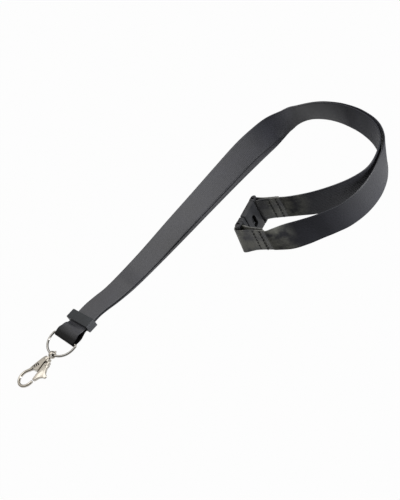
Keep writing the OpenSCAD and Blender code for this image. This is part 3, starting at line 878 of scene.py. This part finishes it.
KEEPER_HALF_L = 4
KEEPER_H = 6.8
KEEPER_EDGE = 0.5
SLOT_HALF_W = 10.7
SLOT_LOW = 0.9
SLOT_HIGH = 4.4
SLOT_EDGE = 0.25
# Fine ribs on the keeper's two ends, upright and side by side along the strap
RIB_COUNT = 6
RIB_L = 5.2
RIB_W = 0.45
RIB_T = 0.3
RIB_SUNK = 0.03


class LANYARD_OT_keeper(bpy.types.Operator):
    """Make the keeper that holds the two layers of strap together"""
    bl_idname = "lanyard.keeper"
    bl_label = "Keeper"

    def execute(self, context):
        body = block((-KEEPER_HALF_L, -KEEPER_HALF_W, 0), (KEEPER_HALF_L, KEEPER_HALF_W, KEEPER_H),
                     KEEPER_EDGE, 4)
        past = KEEPER_HALF_L + CUT_PAST
        slot = block((-past, -SLOT_HALF_W, SLOT_LOW), (past, SLOT_HALF_W, SLOT_HIGH), SLOT_EDGE, 2)
        meshes = [carved(body, [slot])]
        spacing = sizes().rib_spacing / MM
        first = -(RIB_COUNT - 1) / 2 * spacing
        for side in (-1, 1):
            ribs = bar_row(RIB_COUNT, spacing, RIB_W, RIB_L, RIB_T, "moulded_acetal_keeper")
            spot = Matrix.Translation((first, side * (KEEPER_HALF_W - RIB_SUNK), KEEPER_H / 2))
            meshes.append(moved(ribs, spot @ Z_TO_X))
        mesh = placed(joined("keeper", meshes), Matrix.Identity(4))
        piece("keeper_moulding", mesh, "moulded_acetal_keeper", "keeper", "keeper")
        return {"FINISHED"}


# D ring, in millimetres

RING_R = 12
RING_LEG = 3
RING_CORNER = 1.1
RING_WIRE_R = 0.9


def ring_place():
    """Frame of the D ring: x out from its bar through its plane, y along the bar."""
    reach = EYE_ON_WIRE - RING_BAR
    out = reach - reach.dot(BAR_WAY) * BAR_WAY
    return frame_of(RING_BAR, out, out.cross(BAR_WAY))


class LANYARD_OT_d_ring(bpy.types.Operator):
    """Make the D ring of bent wire"""
    bl_idname = "lanyard.d_ring"
    bl_label = "D ring"

    def execute(self, context):
        half = RING_R - RING_CORNER
        steps = 12
        points = [(0, -half + k * 2 * half / steps) for k in range(steps + 1)]
        points += arc((RING_CORNER, half), RING_CORNER, 180, 90, 6)[1:]
        points += arc((RING_LEG, 0), RING_R, 90, -90, 64)[1:]
        points += arc((RING_CORNER, -half), RING_CORNER, 270, 180, 6)[1:-1]
        mesh = placed(tube(points, [RING_WIRE_R] * len(points), closed=True), ring_place())
        piece("d_ring_wire", mesh, "nickel_plated_wire", "d_ring", "d_ring", SOFT_ANGLE)
        return {"FINISHED"}


# Swivel and hook, in millimetres along the hook's own axis x from the eye's centre, and across it

EYE_HOLE_R = 1.8
# Turned forms: distances along the axis and radii, the eye's from its middle outwards
EYE_HALF = [(0.9, 2.8), (1.25, 2.65), (1.4, 2.3), (1.4, 1.85)]
STEM = [(2.1, 1.25), (5.05, 1.25), (5.1, 1.9), (5.85, 1.9)]
KNOB = [(-3.7, 0.45), (-3.55, 0.75), (-3.2, 0.8), (-2.6, 0.7)]
COLLAR = [(3.1, 1.3), (3.1, 2.35), (3.3, 2.6), (3.85, 2.75), (4.05, 2.55), (4.3, 2.55), (4.5, 2.8),
          (5.1, 2.8), (5.3, 2.6), (5.55, 2.6), (5.75, 2.8), (6, 2.7), (6.1, 2.4)]
RIVET = [(-2.25, 0.5), (-2.1, 0.68), (-1.9, 0.7), (1.3, 0.7), (1.45, 0.68), (1.55, 0.5)]

# Palm, and the slot in it that the lever swings in, open over the lever
PALM = [(3.6, -2.4), (5.5, -3.3), (11.1, -4.3), (16.2, -5), (17.3, -5.2), (17.1, -2.6), (16.2, 0.2),
        (14.7, 3.2), (10.65, 4.6), (9.65, 5.5), (7.25, 5.5), (6.35, 4), (5.8, 2.7), (3.6, 2.2)]
PALM_HALF_T = 1.95
PALM_CORNER = 0.8
PALM_RIM = 0.45
SLOT_HALF_T = 1.4
SLOT_HEEL = [(17.8, 13.6), (3.6, 13.6), (3.6, 3), (6.2, 3), (6.2, 1.35), (8.45, 1.35)]
SLOT_FLOOR = [(13.65, 0.7), (17.8, -0.2)]
SLOT_OPENING = [(13.85, 2.65), (17.8, 3.4)]

# Grooves in the palm: each one's middle and its turn in degrees. Faces within a groove's length of one are
# given dark nickel as painted shade between two heights, which takes in the palm's rim beside the grooves.
PALM_GROOVES = ((15.8, -3, 58), (14.4, -2.5, 66), (13, -2, 74), (11.6, -1.6, 82))
GROOVE_L = 3
GROOVE_HALF_W = 0.42
GROOVE_FLOOR = 1.2
GROOVE_SHADE_LOW = 1.19
GROOVE_SHADE_HIGH = 1.9

# Bent arm: it starts inside the palm, meets the bend at a tangent and ends in a domed nose
ARM_START = (14.6, -3.4)
ARM_ROOT = (16.2, -3.9)
ARM_R = 1.15
ARM_ROOT_EXTRA = 0.4
ROOT_STEPS = 4
BEND = (24.5, -1.3)
BEND_R = 6.6
BEND_TO = 95
NOSE_STEPS = 5
NOSE_STEP = 17
ROOT_WAY = Vector(ARM_ROOT) - Vector(BEND)
BEND_FROM = math.degrees(math.atan2(ROOT_WAY.y, ROOT_WAY.x) + math.acos(BEND_R / ROOT_WAY.length))

# Lever: its points are measured from its pin, and at its tip from a point just short of the hook's nose
PIVOT = (8.45, 3.6)
LEVER_TIP = (21.72, 5.27)
LEVER_LOW = [(-0.3, -1.85), (5.5, -0.6)]
LEVER_NOSE = [(-0.3, -0.9), (0.5, -0.7), (0.7, 0.3), (0, 1.2)]
LEVER_TAB = [(9.5, 4.4), (8, 6.4), (7, 9), (5, 8.6), (4.2, 5.6), (0.8, 2.7), (-1.2, 1.8), (-3.4, 1.5),
             (-3.4, -0.1), (-1.7, -0.4), (-1.5, -1.1)]
LEVER_CORNER = 0.9
LEVER_HALF_T = 1.25
LEVER_RIM = 0.4
LEVER_SLOPE = 0.13


class LANYARD_OT_swivel(bpy.types.Operator):
    """Make the swivel eye with its stem"""
    bl_idname = "lanyard.swivel"
    bl_label = "Swivel eye"

    def execute(self, context):
        rim = turned([(-x, r) for x, r in reversed(EYE_HALF)] + EYE_HALF, 48)
        past = EYE_HALF[-1][0] + CUT_PAST
        hole = turned([(-past, EYE_HOLE_R), (past, EYE_HOLE_R)], 48)
        eye = moved(carved(rim, [hole]), X_TO_Y)
        mesh = placed(joined("swivel", [eye, turned(STEM, 32), turned(KNOB, 24)]), HOOK)
        piece("swivel_eye_casting", mesh, "polished_nickel_plate", "swivel", "swivel_eye")
        return {"FINISHED"}


def box_outline(half_l, half_w):
    """A rectangle about the origin."""
    return [(-half_l, -half_w), (half_l, -half_w), (half_l, half_w), (-half_l, half_w)]


def palm_plate():
    """The palm, slotted for the lever, with its row of grooves."""
    palm = plate(softened(PALM, PALM_CORNER), -PALM_HALF_T, PALM_HALF_T, PALM_RIM)
    past = PALM_HALF_T + CUT_PAST
    swing = plate(SLOT_HEEL + SLOT_FLOOR, -SLOT_HALF_T, SLOT_HALF_T)
    open_top = plate(SLOT_HEEL + SLOT_OPENING, -SLOT_HALF_T, past)
    grooves = []
    for x, y, degrees in PALM_GROOVES:
        groove = plate(box_outline(GROOVE_L / 2, GROOVE_HALF_W), GROOVE_FLOOR, past)
        turn = Matrix.Rotation(math.radians(degrees), 4, "Z")
        grooves.append(moved(groove, Matrix.Translation((x, y, 0)) @ turn))
    palm = carved(carved(palm, [swing, open_top]), grooves)
    # Faces in and beside the grooves get the dark nickel: painted shade
    for face in palm.polygons:
        reach = min((face.center.xy - Vector((x, y))).length for x, y, _ in PALM_GROOVES)
        dark = GROOVE_SHADE_LOW < face.center.z < GROOVE_SHADE_HIGH and reach < GROOVE_L
        face.material_index = 1 if dark else 0
    return palm


def bent_arm():
    """The hook's arm, thicker at its root, bent round to its domed nose."""
    bend = arc(BEND, BEND_R, BEND_FROM, BEND_TO, 44)
    root, start = Vector(ARM_ROOT), Vector(bend[0])
    points = [ARM_START] + [tuple(root.lerp(start, k / ROOT_STEPS)) for k in range(ROOT_STEPS)] + bend
    radii = [ARM_R + ARM_ROOT_EXTRA * (1 - min(1, k / (ROOT_STEPS + 1))) for k in range(len(points))]
    nose, heading = Vector(bend[-1]), math.radians(BEND_TO + 90)
    way = Vector((math.cos(heading), math.sin(heading)))
    for k in range(1, NOSE_STEPS + 1):
        a = math.radians(NOSE_STEP * k)
        points.append(tuple(nose + ARM_R * math.sin(a) * way))
        radii.append(ARM_R * math.cos(a))
    return tube(points, radii)


def gate_lever():
    """The lever: gate, heel by the collar and thumb tab, cut from one plate, with a sloped top face."""
    outline = [(origin[0] + x, origin[1] + y) for origin, part in (
        (PIVOT, LEVER_LOW), (LEVER_TIP, LEVER_NOSE), (PIVOT, LEVER_TAB)) for x, y in part]
    lever = plate(softened(outline, LEVER_CORNER), -LEVER_HALF_T, LEVER_HALF_T, LEVER_RIM)
    for vert in lever.vertices:
        if vert.co.z > 0:
            vert.co.z -= LEVER_SLOPE * (vert.co.y - PIVOT[1])
    return lever


class LANYARD_OT_hook(bpy.types.Operator):
    """Make the hook's body, its lever and the lever's pin"""
    bl_idname = "lanyard.hook"
    bl_label = "Hook"

    def execute(self, context):
        body = placed(joined("hook", [turned(COLLAR, 40), palm_plate(), bent_arm()]), HOOK)
        hook = piece("hook_casting", body, "polished_nickel_plate", "hook", "hook_body")
        # The second slot is for the faces that palm_plate marks as dark: painted shade in and beside the
        # grooves
        hook.data.materials.append(material("tarnished_nickel"))
        lever = placed(gate_lever(), HOOK)
        piece("hook_gate_lever", lever, "polished_nickel_plate", "lever", "hook_lever")
        rivet = placed(turned(RIVET, 24), HOOK @ Matrix.Translation((*PIVOT, 0)) @ X_TO_Z)
        piece("lever_rivet", rivet, "polished_nickel_plate", "hook", "lever_pin")
        spring = bpy.data.objects["lever_spring"].data
        spring.materials.clear()
        spring.materials.append(material("bare_spring_steel"))
        return {"FINISHED"}


# Buckle, in millimetres along its own axis x from the socket's strap end, its shown face at y = 0

BUCKLE_W = 24
SOCKET_L = 15.5
BUCKLE_EDGE = 0.7
ARM_T = 1.7
ARM_EDGE = 0.35
ARM_END_EDGE = (0.25, 0.4)
BAR_R = 1.1
BAR_SUNK = 0.3
MOUTH_FROM = 2
MOUTH_WALL = 0.9
MOUTH_SIDE = 2.35
MOUTH_EDGE = 0.2
# Latch window with round ends, and the wider pocket in the tongue behind it
WINDOW_X = 8.5
WINDOW_HALF_L = 2.5
WINDOW_R = 2.5
WINDOW_DEPTH = 1.2
POCKET_R = 2.8
POCKET_DEPTHS = (0.5, 2.6)
LATCH_AT = (9.2, 10.6)
LATCH_R = 1
LATCH_DEPTHS = (0.75, 2.7)
LATCH_RIM = 0.15
SHOULDER_FROM = 16
TONGUE_FROM = 2.5
TONGUE_TO = 16.2
TONGUE_SIDE = 2.5
TONGUE_DEPTHS = (1.05, 3.15)
TONGUE_EDGE = 0.3
SLIT_TO = 12.5
SLIT_W = 1
SLIT_EDGE = 0.1
SLITS = (9, 14)


def strap_bar(start, bar_x):
    """Two arms with round ends and the bar that the strap is sewn round."""
    low, high = min(start, bar_x), max(start, bar_x)
    round_r = BUCKLE_T / 2
    inset, cut = ARM_END_EDGE
    axis = Matrix.Translation((bar_x, -round_r, 0))
    profile = [(0, round_r - cut), (inset, round_r), (ARM_T - inset, round_r), (ARM_T, round_r - cut)]
    meshes = []
    for z in (0, BUCKLE_W - ARM_T):
        meshes.append(block((low, -BUCKLE_T, z), (high, 0, z + ARM_T), ARM_EDGE, 2))
        meshes.append(moved(turned(profile, 28), axis @ Matrix.Translation((0, 0, z)) @ X_TO_Z))
    bar = turned([(BAR_SUNK, BAR_R), (BUCKLE_W - BAR_SUNK, BAR_R)], 24)
    return meshes + [moved(bar, axis @ X_TO_Z)]


def window_plate(radius, low, high):
    """A plate in the form of the latch window, at depths behind the shown face."""
    middle = BUCKLE_W / 2
    outline = (arc((WINDOW_X, middle + WINDOW_HALF_L), radius, 0, 180, 12)
               + arc((WINDOW_X, middle - WINDOW_HALF_L), radius, 180, 360, 12))
    return moved(plate(outline, low, high), Y_TO_Z)


class LANYARD_OT_buckle(bpy.types.Operator):
    """Make the two halves of the breakaway buckle"""
    bl_idname = "lanyard.buckle"
    bl_label = "Breakaway buckle"

    def execute(self, context):
        for half, mesh, body in (("socket", socket_half(), "strap"), ("plug", plug_half(), "buckle_plug")):
            piece("buckle_" + half + "_moulding", placed(mesh, BUCKLE), "moulded_acetal_buckle", body,
                  "buckle_" + half)
        return {"FINISHED"}


def socket_half():
    """The socket half: a hollow body with the latch window, and its strap bar."""
    body = block((0, -BUCKLE_T, 0), (SOCKET_L, 0, BUCKLE_W), BUCKLE_EDGE)
    mouth = block((MOUTH_FROM, MOUTH_WALL - BUCKLE_T, MOUTH_SIDE),
                  (SOCKET_L + CUT_PAST, -MOUTH_WALL, BUCKLE_W - MOUTH_SIDE), MOUTH_EDGE, 1)
    window = window_plate(WINDOW_R, -WINDOW_DEPTH, WINDOW_DEPTH)
    return joined("socket", [carved(body, [mouth, window])] + strap_bar(0, -BAR_REACH))


def plug_half():
    """The plug half: a shoulder, a slit tongue with its pocket and latch boss, and its strap bar."""
    shoulder = block((SHOULDER_FROM, -BUCKLE_T, 0), (SHOULDER_END, 0, BUCKLE_W), BUCKLE_EDGE)
    top, bottom = TONGUE_DEPTHS
    tongue = block((TONGUE_FROM, -bottom, TONGUE_SIDE), (TONGUE_TO, -top, BUCKLE_W - TONGUE_SIDE),
                   TONGUE_EDGE, 2)
    slits = [block((TONGUE_FROM - CUT_PAST, -BUCKLE_T - CUT_PAST, z), (SLIT_TO, CUT_PAST, z + SLIT_W),
                   SLIT_EDGE, 1) for z in SLITS]
    pocket = window_plate(POCKET_R, *POCKET_DEPTHS)
    latch = moved(plate(arc(LATCH_AT, LATCH_R, 0, 360, 16)[:-1], *LATCH_DEPTHS, LATCH_RIM), Y_TO_Z)
    bar = strap_bar(SHOULDER_END, SHOULDER_END + BAR_REACH)
    return joined("plug", [shoulder, carved(tongue, slits + [pocket]), latch] + bar)


# Stage, in metres

FLOOR_HALF = 3
FLOOR_DROP = 0.0002
# Share of the seen floor that is even white, the rest keeping the shadow
FLOOR_EVEN = 0.98
# Soft lights: name, place, what they point at, size and power
LAMPS = (
    ("overhead_softbox", (0.15, 0.15, 1.0), (0.1, -0.03, 0), 0.9, 4.0),
    ("side_softbox", (0.75, -1.05, 0.3), (0.15, -0.08, 0), 0.4, 12.0),
)
WORLD_STRENGTH = 1.2
# The ceiling counts the way to the far side by this share, and pales between two heights
CEILING_LEAN = 0.4
CEILING_SPAN = (0.4, 0.9)
# Camera angles in degrees, and sensor and lens in millimetres, worked out from the photograph
CAMERA_ELEVATION = 39.5
CAMERA_AZIMUTH = -24.4
CAMERA_ROLL = 31.5
CAMERA_TARGET = Vector((0.09225, -0.03943, 0))
CAMERA_DISTANCE = 0.8
CAMERA_LENS = 78.62
CAMERA_SENSOR = 36


class LANYARD_OT_stage(bpy.types.Operator):
    """Make the studio: white floor, soft light and the camera"""
    bl_idname = "lanyard.stage"
    bl_label = "Studio"

    def execute(self, context):
        make_floor()
        make_world()
        for lamp in LAMPS:
            make_lamp(*lamp)
        make_camera()
        return {"FINISHED"}


def make_floor():
    """White floor: white to the camera and in reflections, with a faint shadow."""
    mesh = bpy.data.meshes.new("floor")
    corners = [(x, y, 0) for x, y in box_outline(FLOOR_HALF, FLOOR_HALF)]
    mesh.from_pydata(corners, [], [range(len(corners))])
    mesh.materials.append(floor_material())
    floor = in_scene("floor", mesh)
    floor.location.z = -FLOOR_DROP


def floor_material():
    """Seamless studio paper: even white, keeping a faint contact shadow."""
    made, tree = new_material("seamless_white_paper")
    rays = node(tree, "ShaderNodeLightPath").outputs
    seen = node(tree, "ShaderNodeMath", [rays["Is Camera Ray"], rays["Is Glossy Ray"]], operation="MAXIMUM")
    through = node(tree, "ShaderNodeMath", [seen, rays["Is Transmission Ray"]], operation="MAXIMUM")
    share = node(tree, "ShaderNodeMath", [through, FLOOR_EVEN], operation="MULTIPLY")
    paper = node(tree, "ShaderNodeBsdfDiffuse", {"Color": rgba(colours().floor_shade)})
    white = node(tree, "ShaderNodeEmission", {"Color": rgba(colours().floor), "Strength": 1})
    mix = node(tree, "ShaderNodeMixShader", [share, paper, white])
    node(tree, "ShaderNodeOutputMaterial", [mix])
    return made


def make_world():
    """Studio surround: dark round the sides, with a pale ceiling at the far side that gives the shine."""
    world = bpy.data.worlds.new("studio_surround")
    world.use_nodes = True
    tree = world.node_tree
    tree.nodes.clear()
    place = node(tree, "ShaderNodeTexCoord")
    way = node(tree, "ShaderNodeSeparateXYZ", [place.outputs["Generated"]]).outputs
    far = node(tree, "ShaderNodeMath", [way["Y"], CEILING_LEAN, way["Z"]], operation="MULTIPLY_ADD")
    share = node(tree, "ShaderNodeMapRange", [far, *CEILING_SPAN])
    shade = node(tree, "ShaderNodeMix", [share, rgba(colours().surround), rgba(colours().ceiling)],
                 data_type="RGBA")
    back = node(tree, "ShaderNodeBackground", {"Color": shade, "Strength": WORLD_STRENGTH})
    node(tree, "ShaderNodeOutputWorld", [back])
    bpy.context.scene.world = world


def make_lamp(name, at, towards, size, power):
    """A square soft light."""
    data = bpy.data.lights.new(name, "AREA")
    data.size = size
    data.energy = power
    lamp = in_scene(name, data)
    lamp.location = at
    lamp.rotation_euler = (Vector(towards) - Vector(at)).to_track_quat("-Z", "Y").to_euler()


def make_camera():
    """Camera at the photograph's angle, rolled as the photograph is."""
    elevation, azimuth, roll = (math.radians(a) for a in (CAMERA_ELEVATION, CAMERA_AZIMUTH, CAMERA_ROLL))
    back = Matrix.Rotation(azimuth, 3, "Z") @ Vector((0, -math.cos(elevation), math.sin(elevation)))
    right = UP.cross(back).normalized()
    rolled = math.cos(roll) * right - math.sin(roll) * back.cross(right)
    data = bpy.data.cameras.new("camera")
    data.lens = CAMERA_LENS
    data.sensor_width = CAMERA_SENSOR
    camera = in_scene("camera", data)
    camera.matrix_world = frame_of(CAMERA_TARGET + CAMERA_DISTANCE * back, rolled, back)
    bpy.context.scene.camera = camera
    bpy.context.scene.view_settings.view_transform = "Standard"


class LANYARD_PT_panel(bpy.types.Panel):
    """Panel with the lanyard's pieces, sizes and colours"""
    bl_idname = "LANYARD_PT_panel"
    bl_label = "Neck lanyard"
    bl_space_type = "VIEW_3D"
    bl_region_type = "UI"
    bl_category = "Lanyard"

    def draw(self, context):
        for operator in OPERATORS:
            self.layout.operator(operator.bl_idname)
        for group in (context.scene.lanyard_sizes, context.scene.lanyard_colours):
            for name in group.__annotations__:
                self.layout.prop(group, name)


OPERATORS = (LANYARD_OT_stage, LANYARD_OT_strap, LANYARD_OT_sewn_ends, LANYARD_OT_keeper, LANYARD_OT_d_ring,
             LANYARD_OT_swivel, LANYARD_OT_hook, LANYARD_OT_buckle)
CLASSES = (LanyardSizes, LanyardColours) + OPERATORS + (LANYARD_PT_panel,)


def register():
    for made in CLASSES:
        bpy.utils.register_class(made)
    bpy.types.Scene.lanyard_sizes = bpy.props.PointerProperty(type=LanyardSizes)
    bpy.types.Scene.lanyard_colours = bpy.props.PointerProperty(type=LanyardColours)


def unregister():
    del bpy.types.Scene.lanyard_sizes
    del bpy.types.Scene.lanyard_colours
    for made in reversed(CLASSES):
        bpy.utils.unregister_class(made)


def main():
    register()
    bpy.ops.lanyard.stage()
    bpy.ops.lanyard.strap()
    bpy.ops.lanyard.sewn_ends()
    bpy.ops.lanyard.keeper()
    bpy.ops.lanyard.d_ring()
    bpy.ops.lanyard.swivel()
    bpy.ops.lanyard.hook()
    bpy.ops.lanyard.buckle()


if __name__ == "__main__":
    main()
